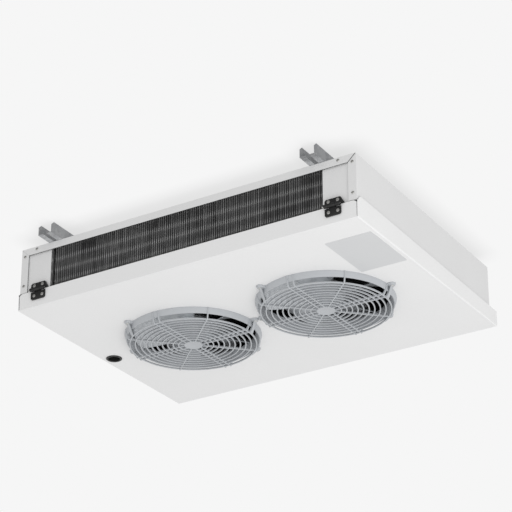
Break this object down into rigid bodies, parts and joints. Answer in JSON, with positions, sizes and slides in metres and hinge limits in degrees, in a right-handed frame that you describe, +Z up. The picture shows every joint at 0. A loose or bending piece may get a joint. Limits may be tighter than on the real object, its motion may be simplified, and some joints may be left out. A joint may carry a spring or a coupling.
{
  "type": "walk-in unit cooler",
  "caption": "Slim ceiling-hung evaporator unit with a finned coil in its front face, guarded axial fans in a drip pan that swings down on front hinges, and slotted hanger channels.",
  "frame": {"origin": "on the ceiling plane, which the tops of the hanger channels touch, over the centre of the four hanger slots", "axes": "+X along the length towards the right end as seen from the front, +Y to the rear, +Z up"},
  "size_m": [0.7852, 0.636, 0.183],
  "materials": {
    "white_sheet": "semi-gloss white paint on folded sheet",
    "galvanised_steel": "galvanised, dull",
    "plated_steel": "zinc plated",
    "dark_fins": "black epoxy over fins and end plates",
    "copper": "copper tube, dull",
    "grey_guard": "moulded, fine grain",
    "grey_impeller": "moulded, satin",
    "black_motor": "black paint",
    "grey_box": "moulded",
    "silver_plate": "satin foil",
    "black_plastic": "moulded, matt"
  },
  "bodies": {
    "casing": {"top_panel": "white_sheet", "rear_panel": "white_sheet", "side_cover_left": "white_sheet", "side_cover_right": "white_sheet", "front_baffle_left": "white_sheet", "front_baffle_right": "white_sheet", "tube_sheet_left": "dark_fins", "tube_sheet_right": "dark_fins", "coil_fins": "dark_fins", "coil_tubes": "copper", "return_bends_left": "copper", "return_bends_right": "copper", "liquid_pipe": "copper", "suction_pipe": "copper", "terminal_box": "grey_box", "terminal_lid": "grey_box", "hanger_bracket_left": "galvanised_steel", "hanger_bracket_right": "galvanised_steel", "hanger_bolts_left": "plated_steel", "hanger_bolts_right": "plated_steel", "hinge_upper_leaf_left": "black_plastic", "hinge_upper_leaf_right": "black_plastic"},
    "fan_panel": {"drain_pan": "white_sheet", "drain_outlet": "black_plastic", "drain_nut": "black_plastic", "rating_plate": "silver_plate", "fan_guard_1": "grey_guard", "fan_guard_2": "grey_guard", "motor_bracket_1": "galvanised_steel", "motor_bracket_2": "galvanised_steel", "fan_motor_1": "black_motor", "fan_motor_2": "black_motor", "hinge_lower_leaf_left": "black_plastic", "hinge_lower_leaf_right": "black_plastic", "hinge_pin_left": "plated_steel", "hinge_pin_right": "plated_steel"},
    "fan_1": {"motor_shaft_1": "plated_steel", "impeller_1": "grey_impeller"},
    "fan_2": {"motor_shaft_2": "plated_steel", "impeller_2": "grey_impeller"}
  },
  "joints": [
    {"name": "pan_hinge", "type": "hinge", "parent": "casing", "child": "fan_panel", "pos_m": [0, -0.2866, -0.1256], "axis": [-1, 0, 0], "range_deg": [0, 90]},
    {"name": "fan_1_spin", "type": "hinge", "parent": "fan_panel", "child": "fan_1", "pos_m": [-0.158, 0.00777, -0.15633], "axis": [0, -0.0227, 0.9997], "continuous": true},
    {"name": "fan_2_spin", "type": "hinge", "parent": "fan_panel", "child": "fan_2", "pos_m": [0.158, 0.00777, -0.15633], "axis": [0, -0.0227, 0.9997], "continuous": true}
  ]
}
